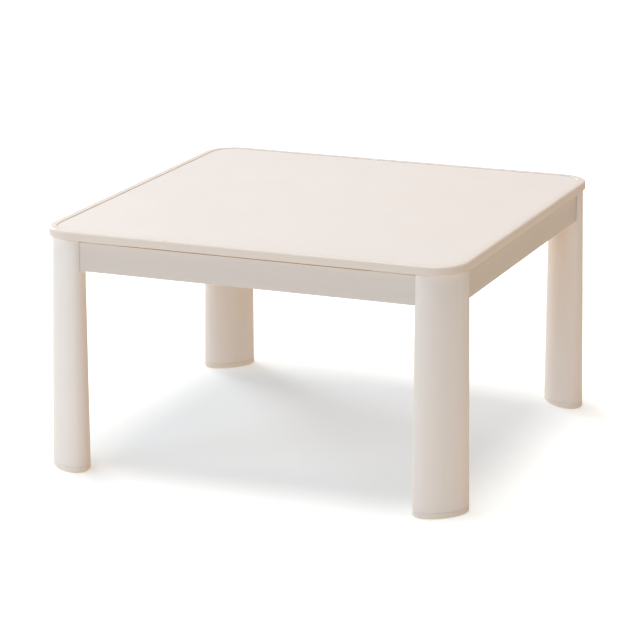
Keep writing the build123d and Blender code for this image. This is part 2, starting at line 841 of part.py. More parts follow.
def guard_wire(offset, depth):
    """Dished wire along Y at an offset from the middle."""
    half = guard_rim_width / 2
    low = guard_rim_level - depth
    path = FilletPolyline(
        (offset, -half, guard_rim_level),
        (offset, -half + guard_slope, low),
        (offset, half - guard_slope, low),
        (offset, half, guard_rim_level),
        radius=guard_bend_radius,
    )
    start = Plane(origin=path @ 0, z_dir=path % 0)
    return sweep(start * Circle(guard_wire_diameter / 2), path=path)


def guard_grille():
    """Welded wire basket below the elements."""
    corner = guard_frame_corner
    rim_path = (Pos(0, 0, guard_rim_level) * square_outline(guard_rim_width, corner)).wire()
    start = Plane(origin=rim_path @ 0, z_dir=rim_path % 0)
    grille = sweep(start * Circle(guard_rim_wire_diameter / 2), path=rim_path)
    middle = (guard_wire_count - 1) / 2
    wires = [guard_wire((index - middle) * guard_wire_pitch, guard_depth) for index in range(guard_wire_count)]
    middle = (guard_tie_count - 1) / 2
    tie_depth = guard_depth - guard_wire_diameter + guard_weld_bite
    for index in range(guard_tie_count):
        wires.append(Rot(0, 0, 90) * guard_wire((index - middle) * guard_tie_pitch, tie_depth))
    return grille.fuse(*wires)


# ---------------------------------------------------------------- all nodes
def build_nodes():
    nodes = {
        "top_core_board": top_core(),
        "top_upper_facing": top_facing(facing_face - facing_thickness),
        "top_lower_facing": top_facing(top_underside),
        "top_edge_band": top_edge_band(),
        "top_rest_pads": rest_pads(),
        "front_rail": rail(0, (-1,)),
        "right_rail": rail(1, ()),
        "back_rail": rail(2, (1,)),
        "left_rail": rail(3, ()),
        "left_cross_rail": cross_rail(-1),
        "right_cross_rail": cross_rail(1),
        "cross_rail_dowels": dowels(-1, 0) + dowels(1, 0),
        "heater_case": heater_case(),
        "insulation_board": insulation_board(),
        "reflector": reflector(),
        "left_quartz_tube": quartz_tube(element_places[0]),
        "right_quartz_tube": quartz_tube(element_places[1]),
        "left_heating_coil": heating_coil(element_places[0]),
        "right_heating_coil": heating_coil(element_places[1]),
        "ceramic_end_caps": [ceramic_cap(place, end) for place in element_places for end in (-1, 1)],
        "front_tube_holder": tube_holder(-1),
        "back_tube_holder": tube_holder(1),
        "tube_holder_screws": screws_at(holder_screw_places(), sheet_screw, holder_screw_length),
        "power_inlet": power_inlet(),
        "power_inlet_pins": inlet_pins(0),
        "terminal_block": terminal_block(),
        "terminal_screws": screws_at(terminal_screw_places(), terminal_screw, terminal_block_size[2] / 2),
        "thermostat": thermostat(),
        "thermal_fuse": thermal_fuse(),
        "lead_wires": lead_wires(),
        "guard_frame": guard_frame(),
        "guard_grille": guard_grille(),
        "guard_screws": screws_at(guard_screw_places(), sheet_screw, guard_screw_length),
        "heater_mount_screws": screws_at(mount_screw_places(), wood_screw, mount_screw_length),
    }
    corner_parts = {
        "leg": leg(),
        "foot_cap": foot_cap(),
        "corner_bracket": corner_bracket(),
        "leg_knob": knob(),
        "leg_knob_nut": knob_nut(),
    }
    groups = {
        "leg_bolts": [hanger_bolt()],
        "leg_washers": [washer()],
        "foot_cap_screws": screws_at(foot_screw_places(), foot_screw, foot_screw_length),
        "bracket_screws": screws_at(bracket_screw_places(), wood_screw, bracket_screw_length),
    }
    for group in groups:
        nodes[group] = []
    for corner, (side_x, side_y) in corners.items():
        place = corner_place(side_x, side_y)
        for name, shape in corner_parts.items():
            nodes[f"{corner}_{name}"] = place * shape
        for group, shapes in groups.items():
            nodes[group] += [place * shape for shape in shapes]
    return nodes


os.makedirs("parts", exist_ok=True)
for name, shape in build_nodes().items():
    solid = Compound(children=shape) if isinstance(shape, list) else shape
    export_step(solid, f"parts/{name}.step")
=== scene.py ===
# %% [markdown]
# # Dressing a low heated table
# The table arrives as a frame of fifty-eight rigid pieces, already in their places and at their
# real size. This lesson gives each one the finish of the real thing, builds the few pieces
# that want a finer shape than a solid model gives, and sets up a small studio around them.
# Lengths are in metres. The front of the table faces -Y, its right side faces +X, and the
# floor is at Z = 0.

# %% Open the frame
import json
import math

import bpy
from mathutils import Matrix, Vector


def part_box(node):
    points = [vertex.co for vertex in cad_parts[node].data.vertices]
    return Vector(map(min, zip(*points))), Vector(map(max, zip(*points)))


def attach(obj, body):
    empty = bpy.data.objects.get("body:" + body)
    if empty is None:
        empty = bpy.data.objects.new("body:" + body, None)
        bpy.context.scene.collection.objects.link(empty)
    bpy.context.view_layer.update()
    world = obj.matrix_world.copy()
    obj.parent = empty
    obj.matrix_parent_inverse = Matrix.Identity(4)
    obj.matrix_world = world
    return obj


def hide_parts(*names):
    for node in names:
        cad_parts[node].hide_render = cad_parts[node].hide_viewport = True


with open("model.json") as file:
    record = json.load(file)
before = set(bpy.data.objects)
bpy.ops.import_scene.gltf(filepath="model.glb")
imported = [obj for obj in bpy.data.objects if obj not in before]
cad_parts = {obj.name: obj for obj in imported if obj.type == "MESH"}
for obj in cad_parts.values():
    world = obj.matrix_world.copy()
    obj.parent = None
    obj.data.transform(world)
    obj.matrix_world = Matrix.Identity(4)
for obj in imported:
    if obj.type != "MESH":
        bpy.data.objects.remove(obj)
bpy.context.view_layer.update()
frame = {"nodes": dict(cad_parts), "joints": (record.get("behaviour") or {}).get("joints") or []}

nodes = frame["nodes"]
corners = ("front_left", "front_right", "back_right", "back_left")

# %% [markdown]
# ## How a finish is made here
# Every finish starts from one Principled shader. What is the same all over, such as metal or
# gloss, is a number on the shader's own socket. What varies, such as grain or pits, comes from
# textures that read each point's own place in metres, so no picture has to be wrapped round
# the piece and the size of the detail can be given in millimetres.

# %% A finish and its nodes
mm = 0.001


def new_finish(name, **constants):
    """A material whose shader sockets hold these numbers; Coat_Weight means Coat Weight."""
    finish = bpy.data.materials.new(name)
    finish.use_nodes = True
    shader = finish.node_tree.nodes["Principled BSDF"]
    for socket, value in constants.items():
        shader.inputs[socket.replace("_", " ")].default_value = value
    return finish


def shader_of(finish):
    return finish.node_tree.nodes["Principled BSDF"]


def add(owner, kind, sockets, output=0, **settings):
    """A node for a material or a world, its sockets set or linked; gives back one of its outputs."""
    made = owner.node_tree.nodes.new("ShaderNode" + kind)
    for key, value in settings.items():
        setattr(made, key, value)
    for socket, value in sockets.items():
        if isinstance(value, bpy.types.NodeSocket):
            owner.node_tree.links.new(value, made.inputs[socket])
        else:
            made.inputs[socket].default_value = value
    return made.outputs[output]


def place_in(finish, stretch=(1, 1, 1), turn=(0, 0, 0)):
    """Each point's place in metres; a small stretch draws the detail out along that axis."""
    place = add(finish, "TexCoord", {}, output="Object")
    turned = [math.radians(angle) for angle in turn]
    return add(finish, "Mapping", {"Vector": place, "Scale": stretch, "Rotation": turned})


trial = new_finish("trial")
print("a shader has", len(shader_of(trial).inputs), "sockets to fill")
bpy.data.materials.remove(trial)

# %% [markdown]
# Four small moves make nearly every surface: random specks of a given size, a colour picked
# along a scale, a roughness that wanders between two values, and a relief that tilts the light
# as real pits and ridges would.

# %% Specks, tints, gloss and relief
def specks(finish, place, size, detail=3.0, blend=0.5):
    """Soft random variation in blotches of about this size."""
    sockets = {"Vector": place, "Scale": 1 / size, "Detail": detail, "Roughness": blend}
    return add(finish, "TexNoise", sockets)


def tint(finish, factor, *stops):
    """Base colour picked along a scale of (position, colour) stops."""
    colour = add(finish, "ValToRGB", {"Fac": factor})
    scale = colour.node.color_ramp
    while len(scale.elements) < len(stops):
        scale.elements.new(0.5)
    for element, (position, value) in zip(scale.elements, stops):
        element.position = position
        element.color = (*value, 1)
    finish.node_tree.links.new(colour, shader_of(finish).inputs["Base Color"])


def wander(finish, factor, low, high, socket="Roughness"):
    """Lets one of the shader's numbers wander between two values, as specks go from 0.3 to 0.7."""
    sockets = {"Value": factor, "From Min": 0.3, "From Max": 0.7, "To Min": low, "To Max": high}
    finish.node_tree.links.new(add(finish, "MapRange", sockets), shader_of(finish).inputs[socket])


def relief(finish, height, depth, strength=1.0):
    """Pits and ridges this deep, laid over any relief that is there already."""
    normal = shader_of(finish).inputs["Normal"]
    sockets = {"Height": height, "Distance": depth, "Strength": strength}
    if normal.links:
        sockets["Normal"] = normal.links[0].from_socket
    finish.node_tree.links.new(add(finish, "Bump", sockets), normal)


def shades(colour, spread):
    """A darker and a lighter neighbour of a colour."""
    return [tuple(channel * (1 + step) for channel in colour) for step in (-spread, spread)]


def dress(finish, *names):
    """Gives frame pieces a finish, in the material slots that they came with."""
    for name in names:
        for slot in nodes[name].material_slots:
            slot.material = finish
    print(finish.name, "on", len(names), "pieces")

# %% [markdown]
# ## The tabletop
# The top is a sheet of warm white melamine pressed over a board, inside a moulded edge band
# that stands a little above it. Melamine copies the plate that it was pressed against: a faint
# orange peel, with a satin gloss that wanders a little. Specks of three sizes give it: a hand's
# breadth for the tone, less for the gloss, and a grain of sand for the peel. The band is moulded
# plastic of nearly the same colour, a touch glossier.

# %% Melamine faces and the moulded band
warm_white = (0.765, 0.70, 0.67)
band_white = (0.78, 0.685, 0.63)

melamine = new_finish("satin_melamine", Specular_IOR_Level=0.4)
place = place_in(melamine)
tint(melamine, specks(melamine, place, 90 * mm), *zip((0.35, 0.65), shades(warm_white, 0.006)))
peel = specks(melamine, place, 1.6 * mm, detail=2)
wander(melamine, specks(melamine, place, 35 * mm), 0.50, 0.57)
relief(melamine, peel, 0.02 * mm, strength=0.5)
dress(melamine, "top_upper_facing", "top_lower_facing")

band = new_finish("moulded_edge", Coat_Weight=0.05, Coat_Roughness=0.4)
place = place_in(band)
tint(band, specks(band, place, 60 * mm), *zip((0.35, 0.65), shades(band_white, 0.01)))
wander(band, specks(band, place, 12 * mm), 0.44, 0.52)
relief(band, specks(band, place, 0.7 * mm), 0.015 * mm, strength=0.5)
dress(band, "top_edge_band")

# %% [markdown]
# Inside the band lies the core, a board of pressed wood fibre: tan, mottled by single darker
# and paler fibres that lie flat. Squeezing the specks in height gives that layered look.

# %% The fibre core
fibreboard = new_finish("pressed_fibre", Roughness=0.86)
place = place_in(fibreboard, stretch=(1, 1, 3))
fibres = specks(fibreboard, place, 1.8 * mm, detail=6, blend=0.7)
tint(fibreboard, fibres, (0.3, (0.30, 0.19, 0.10)), (0.52, (0.42, 0.29, 0.17)), (0.75, (0.55, 0.41, 0.26)))
relief(fibreboard, fibres, 0.15 * mm)
dress(fibreboard, "top_core_board")

# %% [markdown]
# The loose top rests on eight soft strips of white foam. Foam lets a little light into itself,
# which the subsurface socket gives, and its cut faces show its pores: a Voronoi texture sinks
# them as hollows with raised edges, and paints shade into them, darker in the hollows and
# paler on the raised edges.

# %% Rest pads
foam = new_finish("white_foam", Roughness=0.9, Subsurface_Weight=0.5, Subsurface_Scale=1.5 * mm)
place = place_in(foam)
pore_cells_and_painted_shade = add(foam, "TexVoronoi", {"Vector": place, "Scale": 1 / (0.6 * mm)})
# Painted shade: each pore is darker in its hollow and paler on its raised edge.
tint(foam, pore_cells_and_painted_shade, (0.1, (0.62, 0.58, 0.54)), (0.6, (0.76, 0.72, 0.68)))
relief(foam, pore_cells_and_painted_shade, 0.1 * mm)
dress(foam, "top_rest_pads")

# %% [markdown]
# ## Rails and legs
# The rails are wrapped in an embossed foil, and the legs are lacquered over the wood. Fine
# pores show through both and run with the wood: along each rail, and up each leg. The same
# recipe serves them all, once it is told which way the grain runs, so it is a function. The
# grain is only just there: the table reads as plain white.

# %% A white skin over the grain
pore_stretch = 0.035


def white_over_grain(name, colour, grain, gloss):
    """A white skin with fine pores; grain is the axis, 0 to 2, that they run along."""
    skin = new_finish(name)
    stretch = [1.0, 1.0, 1.0]
    stretch[grain] = pore_stretch
    along = place_in(skin, stretch=stretch)
    streaks = specks(skin, along, 1.1 * mm, detail=4, blend=0.6)
    broad = specks(skin, along, 9 * mm, detail=2)
    both = add(skin, "Mix", {0: 0.35, "A": broad, "B": streaks}, data_type="FLOAT")
    tint(skin, both, *zip((0.3, 0.7), shades(colour, 0.014)))
    wander(skin, broad, gloss - 0.03, gloss + 0.04)
    relief(skin, streaks, 0.03 * mm, strength=0.45)
    relief(skin, specks(skin, place_in(skin), 0.5 * mm), 0.01 * mm, strength=0.4)
    return skin


# The rails' white is set darker than the legs' white as painted shade: the shade that falls under the top's
# overhang.
rail_white_with_painted_shade = (0.705, 0.637, 0.607)
leg_white = (0.83, 0.762, 0.742)
dress(white_over_grain("wrapped_rail_across", rail_white_with_painted_shade, 0, 0.46), "front_rail", "back_rail")
dress(white_over_grain("wrapped_rail_along", rail_white_with_painted_shade, 1, 0.46), "left_rail", "right_rail")
dress(white_over_grain("lacquered_leg", leg_white, 2, 0.48), *(corner + "_leg" for corner in corners))

# %% [markdown]
# The foot caps are moulded in a matching plastic. The mould's walls were spark-eroded, which
# leaves an even, very fine frosting instead of a gloss.

# %% Foot caps
foot_white = (0.80, 0.735, 0.69)
frosted = new_finish("frosted_foot")
place = place_in(frosted)
tint(frosted, specks(frosted, place, 25 * mm), *zip((0.3, 0.7), shades(foot_white, 0.012)))
wander(frosted, specks(frosted, place, 4 * mm), 0.50, 0.60)
relief(frosted, specks(frosted, place, 0.35 * mm), 0.03 * mm, strength=0.6)
dress(frosted, *(corner + "_foot_cap" for corner in corners))

# %% [markdown]
# ## Bare wood underneath
# The two cross rails are planed softwood. Growth rings are nested tubes round the tree's heart,
# so a wave of rings round an axis far outside the bar, bent a little by specks, gives the long
# curved grain of its faces and the arcs on its ends at once. A wave texture at scale 1 repeats
# every 0.314 m, so that number over the width of a ring is its scale. The dowels are beech, with
# short dark flecks instead of rings.

# %% Softwood bars and beech dowels
wave_repeat = 0.314
ring_width = 3.2 * mm
heart_of_tree = (30 * mm, 0, -270 * mm)
ring_bend = 12 * mm

softwood = new_finish("planed_softwood", Roughness=0.58)
place = place_in(softwood, stretch=(1, 0.08, 1))
bend = specks(softwood, place, 45 * mm, detail=2)
from_heart = add(softwood, "VectorMath", {0: place, 1: heart_of_tree}, operation="ADD")
drift = add(softwood, "VectorMath", {0: bend, "Scale": ring_bend}, operation="SCALE")
rings_place = add(softwood, "VectorMath", {0: from_heart, 1: drift}, operation="ADD")
waviness = {"Distortion": 1.2, "Detail": 2, "Detail Scale": 1.5}
ring_sockets = {"Vector": rings_place, "Scale": wave_repeat / ring_width, **waviness}
rings = add(softwood, "TexWave", ring_sockets, output=1,
            wave_type="RINGS", rings_direction="Y", wave_profile="SAW")
tint(softwood, rings, (0.0, (0.62, 0.44, 0.25)), (0.7, (0.53, 0.34, 0.17)), (0.97, (0.38, 0.21, 0.09)))
wander(softwood, rings, 0.50, 0.62)
pores = specks(softwood, place, 0.6 * mm, detail=5, blend=0.65)
relief(softwood, rings, 0.12 * mm, strength=0.4)
relief(softwood, pores, 0.08 * mm, strength=0.5)
dress(softwood, "left_cross_rail", "right_cross_rail")

beech = new_finish("turned_beech", Roughness=0.55)
place = place_in(beech, stretch=(1, 0.1, 1))
flecks = specks(beech, place, 0.8 * mm, detail=5, blend=0.7)
tint(beech, flecks, (0.3, (0.36, 0.20, 0.10)), (0.45, (0.55, 0.36, 0.20)), (0.8, (0.62, 0.43, 0.26)))
relief(beech, flecks, 0.06 * mm)
dress(beech, "cross_rail_dowels")

# %% [markdown]
# ## Metals
# Bright zinc plating is a metal with a soft, slightly blue sheen and cloudy patches where the
# bath worked unevenly. Galvanised sheet is different: the zinc freezes into crystals that each
# mirror the light in their own way, the spangle. A Voronoi texture cuts the surface into such
# crystals, and its random colour gives each its own tone and gloss. Shifting each point a
# little by specks first makes their borders ragged.

# %% Zinc plating and spangled sheet
zinc = new_finish("bright_zinc", Metallic=1.0)
place = place_in(zinc)
cloud = specks(zinc, place, 7 * mm, detail=4)
tint(zinc, cloud, (0.3, (0.50, 0.51, 0.52)), (0.55, (0.60, 0.605, 0.60)), (0.75, (0.64, 0.62, 0.57)))
wander(zinc, specks(zinc, place, 2 * mm), 0.24, 0.38)
relief(zinc, specks(zinc, place, 0.4 * mm), 0.01 * mm, strength=0.5)
zinc_pieces = ["leg_bolts", "leg_washers", "foot_cap_screws", "bracket_screws", "tube_holder_screws",
               "guard_screws", "heater_mount_screws", "front_tube_holder", "back_tube_holder"]
for corner in corners:
    zinc_pieces += [corner + "_corner_bracket", corner + "_leg_knob_nut"]
dress(zinc, *zinc_pieces)

crystal_width = 7 * mm
border_size = 3 * mm
spangle = new_finish("spangled_sheet", Metallic=1.0)
place = place_in(spangle)
borders = specks(spangle, place, border_size)
shift = add(spangle, "VectorMath", {0: borders, "Scale": border_size}, operation="SCALE")
ragged = add(spangle, "VectorMath", {0: place, 1: shift}, operation="ADD")
crystal = add(spangle, "TexVoronoi", {"Vector": ragged, "Scale": 1 / crystal_width}, output="Color")
tone = add(spangle, "SeparateColor", {"Color": crystal})
tint(spangle, tone, (0.0, (0.44, 0.45, 0.46)), (0.5, (0.52, 0.53, 0.54)), (1.0, (0.60, 0.61, 0.61)))
wander(spangle, tone, 0.32, 0.46)
relief(spangle, specks(spangle, place, 0.8 * mm), 0.02 * mm, strength=0.5)
dress(spangle, "heater_case")

# %% [markdown]
# The reflector is bright rolled aluminium. The rolls leave very fine lines along the sheet, and
# years of glowing tubes leave a straw-coloured haze above each of them. The haze is a colour
# scale read from how far a point lies from the nearest tube.

# %% Reflector with heat haze
tube_offset = 55 * mm
haze_reach = 30 * mm

bright = new_finish("rolled_aluminium", Metallic=1.0, Anisotropic=0.4)
place = add(bright, "TexCoord", {}, output="Object")
across = add(bright, "SeparateXYZ", {"Vector": place})
from_middle = add(bright, "Math", {0: across}, operation="ABSOLUTE")
from_tube = add(bright, "Math", {0: from_middle, 1: tube_offset}, operation="SUBTRACT")
distance = add(bright, "Math", {0: from_tube}, operation="ABSOLUTE")
near = add(bright, "MapRange", {"Value": distance, "From Max": haze_reach, "To Max": 0.8})
patchy = add(bright, "Math", {0: specks(bright, place, 14 * mm), 1: 0.35}, operation="MULTIPLY")
haze = add(bright, "Math", {0: near, 1: patchy}, operation="ADD")
tint(bright, haze, (0.15, (0.66, 0.56, 0.40)), (0.55, (0.74, 0.71, 0.64)), (0.95, (0.80, 0.81, 0.82)))
lines = specks(bright, place_in(bright, stretch=(1, 0.02, 1)), 0.5 * mm, detail=3)
wander(bright, lines, 0.13, 0.26)
relief(bright, lines, 0.015 * mm, strength=0.5)
dress(bright, "reflector")

# %% [markdown]
# The board above the reflector is pressed mineral fibre: chalky, matt and a little hairy. Very
# detailed specks, drawn out along the board, give the matted fibres.

# %% Mineral fibre
mineral = new_finish("mineral_fibre", Roughness=0.95, Sheen_Weight=0.15)
fluff = specks(mineral, place_in(mineral, stretch=(1, 0.3, 1)), 1.4 * mm, detail=7, blend=0.75)
tint(mineral, fluff, (0.3, (0.50, 0.47, 0.40)), (0.7, (0.72, 0.69, 0.61)))
relief(mineral, fluff, 0.3 * mm)
dress(mineral, "insulation_board")

# %% [markdown]
# ## The glowing part
# The elements are coils of resistance wire in milky quartz tubes, held by ceramic caps. The
# quartz is milky because of fine bubbles drawn out along the tube, so its transmission stays
# under one, its roughness is high, and stretched specks give the bubbles. The ceramic is chalky
# and lets a little light in, and the wire wears the dark scale of its first heating.

# %% Quartz, ceramic and oxidised wire
quartz = new_finish("milky_quartz", IOR=1.46, Transmission_Weight=0.72)
bubbles = specks(quartz, place_in(quartz, stretch=(1, 0.05, 1)), 0.6 * mm, detail=4)
tint(quartz, bubbles, (0.3, (0.80, 0.77, 0.73)), (0.7, (0.93, 0.91, 0.88)))
wander(quartz, bubbles, 0.28, 0.42)
relief(quartz, bubbles, 0.02 * mm, strength=0.5)
dress(quartz, "left_quartz_tube", "right_quartz_tube")

ceramic = new_finish("bisque_ceramic", Roughness=0.62, Subsurface_Weight=0.15, Subsurface_Scale=0.8 * mm)
place = place_in(ceramic)
tint(ceramic, specks(ceramic, place, 2.5 * mm, detail=6, blend=0.7),
     (0.25, (0.60, 0.56, 0.48)), (0.45, (0.74, 0.71, 0.64)), (0.8, (0.80, 0.78, 0.72)))
relief(ceramic, specks(ceramic, place, 0.3 * mm), 0.04 * mm, strength=0.7)
dress(ceramic, "ceramic_end_caps")

oxidised = new_finish("oxidised_wire", Metallic=1.0)
scale_marks = specks(oxidised, place_in(oxidised), 0.9 * mm, detail=5, blend=0.6)
tint(oxidised, scale_marks, (0.3, (0.11, 0.09, 0.08)), (0.55, (0.20, 0.17, 0.15)), (0.8, (0.27, 0.21, 0.16)))
wander(oxidised, scale_marks, 0.42, 0.62)
relief(oxidised, scale_marks, 0.03 * mm, strength=0.6)

# %% [markdown]
# ### Winding a real coil
# The frame holds each coil as one ridged bar. The real one is a single wire wound into a
# helix, with a straight pin at each end that the lead is crimped to. A curve with a round
# bevel does that well: list its points, give the curve the wire's thickness, then turn it into
# a mesh. Every built piece also rides on a body of the frame and wears its finish, so the last
# helper here does both.

# %% A tube along points
def tube_mesh(name, points, radius, sides=3):
    """Round wire through the points as a mesh; more sides make it rounder."""
    curve = bpy.data.curves.new(name, "CURVE")
    curve.dimensions = "3D"
    curve.bevel_depth = radius
    curve.bevel_resolution = sides
    curve.use_fill_caps = True
    run = curve.splines.new("POLY")
    run.points.add(len(points) - 1)
    for held, point in zip(run.points, points):
        held.co = (*point, 1)
    drawn = bpy.data.objects.new(name, curve)
    bpy.context.scene.collection.objects.link(drawn)
    mesh = bpy.data.meshes.new_from_object(drawn.evaluated_get(bpy.context.evaluated_depsgraph_get()))
    bpy.data.objects.remove(drawn)
    bpy.data.curves.remove(curve)
    mesh.name = name
    return mesh


def join_meshes(name, meshes):
    """One mesh that holds all of these."""
    points, faces = [], []
    for mesh in meshes:
        start = len(points)
        points += [vertex.co.copy() for vertex in mesh.vertices]
        faces += [[start + index for index in face.vertices] for face in mesh.polygons]
        bpy.data.meshes.remove(mesh)
    joined = bpy.data.meshes.new(name)
    joined.from_pydata(points, [], faces)
    joined.update()
    return joined


def shade_round(mesh, degrees=32):
    """Smooth light over curves, kept crisp at corners sharper than the angle."""
    mesh.polygons.foreach_set("use_smooth", [True] * len(mesh.polygons))
    mesh.set_sharp_from_angle(angle=math.radians(degrees))


def set_piece(name, mesh, finish, body, slot, *stands_for):
    """Puts a built piece on its body, in its finish, in place of these frame nodes."""
    piece = bpy.data.objects.new(name, mesh)
    bpy.context.scene.collection.objects.link(piece)
    mesh.materials.append(finish)
    shade_round(mesh)
    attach(piece, body)
    if stands_for:
        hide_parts(*stands_for)
    print(name, "has", len(mesh.polygons), "faces")


# %% [markdown]
# The points of a helix go round and forward at a steady rate. Where the wire runs onto its pin
# the helix narrows, like the real winding does, so nothing ends in the air.

# %% The two windings
wire_radius = 0.45 * mm
winding_radius = 3.9 * mm
winding_half_length = 105 * mm
turn_pitch = 2.3 * mm
steps_per_turn = 18
turns_onto_pin = 1.5
pin_radius = 1.5 * mm
pin_grip = 0.9
pin_inside = 3.5 * mm


def winding(name, node):
    """A helix along Y between two pins, inside the box of the ridged bar."""
    low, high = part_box(node)
    centre = (low + high) / 2
    turns = round(2 * winding_half_length / turn_pitch)
    narrow = wire_radius + pin_radius * pin_grip
    points = []
    for step in range(turns * steps_per_turn + 1):
        turn = step / steps_per_turn
        opened = min(1, min(turn, turns - turn) / turns_onto_pin)
        radius = narrow + (winding_radius - narrow) * opened
        angle = math.tau * turn
        along = winding_half_length * (2 * turn / turns - 1)
        points.append(centre + Vector((radius * math.cos(angle), along, radius * math.sin(angle))))
    parts = [tube_mesh(name, points, wire_radius)]
    for end in (-1, 1):
        tip = high.y if end > 0 else low.y
        inner = centre.y + end * (winding_half_length - pin_inside)
        pin = [(centre.x, inner + (tip - inner) * share, centre.z) for share in (0, 0.3, 0.6, 1)]
        parts.append(tube_mesh(name, pin, pin_radius, sides=5))
    set_piece(name, join_meshes(name, parts), oxidised, "frame", "heating_wire", node)


winding("left_coil_winding", "left_heating_coil")
winding("right_coil_winding", "right_heating_coil")

# %% [markdown]
# ## Screw threads
# Each leg hangs on a bolt whose thread shows between the leg and the bracket. A thread is a
# ridge that climbs as it goes round, so a point's distance from the axis depends on how far it
# is along the bolt minus how far it is round it. A grid of points with that rule is a real
# helix, and it needs no cutting of one solid from another, which is slow and often fails. The
# two flanks take four fifths of the pitch, and the flat crest takes the rest.

# %% Threaded bolts
thread_pitch = 1.25 * mm
thread_outer = 4.0 * mm
thread_depth = 0.65 * mm
flank_share = 0.8
bolt_before_knob = 49.8 * mm
bolt_past_knob = 3.7 * mm
bolt_taper = 1.0 * mm
bolt_sides = 28
rows_per_turn = 6


def threaded_bolt(name, start, end):
    """A bolt from start to end, with a ridge that climbs round it and tapered ends."""
    axis = (end - start).normalized()
    side = axis.cross(Vector((0, 0, 1))).normalized()
    up = axis.cross(side)
    length = (end - start).length
    rows = round(length / thread_pitch * rows_per_turn)
    points, faces = [], []
    for row in range(rows + 1):
        along = length * row / rows
        room = thread_outer - max(0, bolt_taper - along, bolt_taper - (length - along))
        for index in range(bolt_sides):
            turn = index / bolt_sides
            phase = (along / thread_pitch - turn) % 1
            ridge = 1 - abs(2 * phase - 1)
            radius = min(room, thread_outer - thread_depth * max(0, 1 - ridge / flank_share))
            angle = math.tau * turn
            points.append(start + axis * along + (side * math.cos(angle) + up * math.sin(angle)) * radius)
    for row in range(rows):
        for index in range(bolt_sides):
            after = (index + 1) % bolt_sides
            here, above = row * bolt_sides, (row + 1) * bolt_sides
            faces.append((here + index, above + index, above + after, here + after))
    faces.append(list(range(bolt_sides)))
    faces.append([rows * bolt_sides + index for index in reversed(range(bolt_sides))])
    mesh = bpy.data.meshes.new(name)
    mesh.from_pydata(points, [], faces)
    return mesh


bolts = []
for joint in frame["joints"]:
    if joint["name"].endswith("knob_turn"):
        axis, middle = Vector(joint["axis"]), Vector(joint["pos_m"])
        start, end = middle - axis * bolt_before_knob, middle + axis * bolt_past_knob
        bolts.append(threaded_bolt(joint["name"], start, end))
all_bolts = join_meshes("threaded_leg_bolts", bolts)
set_piece("threaded_leg_bolts", all_bolts, zinc, "frame", "zinc_steel", "leg_bolts")

# %% [markdown]
# ## Dark plastics and brass
# The hand knobs are moulded in black nylon: a fine matt skin that shines a little where hands
# have polished it. Finding those places is a job for Pointiness, but it needs a dense mesh, so
# here larger specks change the gloss instead. The sockets and blocks of the heater are a
# thermoset, harder and glossier, with faint swirls from the mould.

# %% Knobs, thermoset and contacts
nylon = new_finish("black_nylon")
place = place_in(nylon)
tint(nylon, specks(nylon, place, 6 * mm, detail=4), (0.3, (0.018, 0.018, 0.019)), (0.7, (0.03, 0.03, 0.031)))
wander(nylon, specks(nylon, place, 9 * mm), 0.40, 0.56)
relief(nylon, specks(nylon, place, 0.45 * mm), 0.04 * mm, strength=0.7)
dress(nylon, *(corner + "_leg_knob" for corner in corners))

thermoset = new_finish("moulded_thermoset", Coat_Weight=0.15, Coat_Roughness=0.3)
place = place_in(thermoset)
swirl = specks(thermoset, place, 5 * mm, detail=6, blend=0.6)
tint(thermoset, swirl, (0.3, (0.022, 0.02, 0.018)), (0.6, (0.04, 0.036, 0.032)), (0.8, (0.055, 0.048, 0.042)))
wander(thermoset, swirl, 0.34, 0.46)
relief(thermoset, specks(thermoset, place, 0.6 * mm), 0.02 * mm, strength=0.5)
dress(thermoset, "power_inlet", "terminal_block", "thermostat", "thermal_fuse")

brass = new_finish("flashed_brass", Metallic=1.0)
place = place_in(brass)
stain = specks(brass, place, 2.5 * mm, detail=5, blend=0.6)
tint(brass, stain, (0.3, (0.48, 0.36, 0.16)), (0.55, (0.62, 0.53, 0.33)), (0.75, (0.68, 0.63, 0.50)))
wander(brass, stain, 0.22, 0.36)
dress(brass, "power_inlet_pins", "terminal_screws")

# %% [markdown]
# ## Braided leads
# The leads inside a heater wear a braided glass-fibre sleeve. Two waves that cross at an angle
# to the wire make the over-and-under of the braid. Multiplying them leaves small lozenges with
# gaps between, and the same pattern lifts the surface. Its colour is painted shade: dark in the
# sunken gaps and bright on the raised lozenges.

# %% Braided sleeve
strand_width = 1.1 * mm
braid = new_finish("braided_sleeve", Roughness=0.8, Sheen_Weight=0.3)


def strands(turn):
    """Side by side strands, turned by these three angles."""
    sockets = {"Vector": place_in(braid, turn=turn), "Scale": wave_repeat / strand_width, "Distortion": 0.4}
    return add(braid, "TexWave", sockets, output=1)


weave_and_painted_shade = add(braid, "Math", {0: strands((0, 0, 45)), 1: strands((45, 0, -45))}, operation="MULTIPLY")
# Painted shade: dark in the gaps between strands, bright on the strands.
tint(braid, weave_and_painted_shade, (0.1, (0.42, 0.40, 0.34)), (0.5, (0.70, 0.67, 0.59)), (0.9, (0.78, 0.76, 0.69)))
relief(braid, weave_and_painted_shade, 0.12 * mm)
dress(braid, "lead_wires")

# %% [markdown]
# ## The guard
# The guard is dipped in black enamel after welding. Enamel pulls itself smooth but keeps long
# soft waves, so its relief is larger and gentler than that of a moulded plastic, and it has a
# clear second layer of gloss, the coat.

# %% Enamelled guard
enamel = new_finish("black_enamel", Coat_Weight=0.35, Coat_Roughness=0.22)
place = place_in(enamel)
tint(enamel, specks(enamel, place, 8 * mm), (0.3, (0.010, 0.010, 0.010)), (0.7, (0.020, 0.019, 0.018)))
wander(enamel, specks(enamel, place, 5 * mm), 0.34, 0.46)
relief(enamel, specks(enamel, place, 2.2 * mm, detail=1), 0.06 * mm, strength=0.5)
dress(enamel, "guard_frame", "guard_grille")

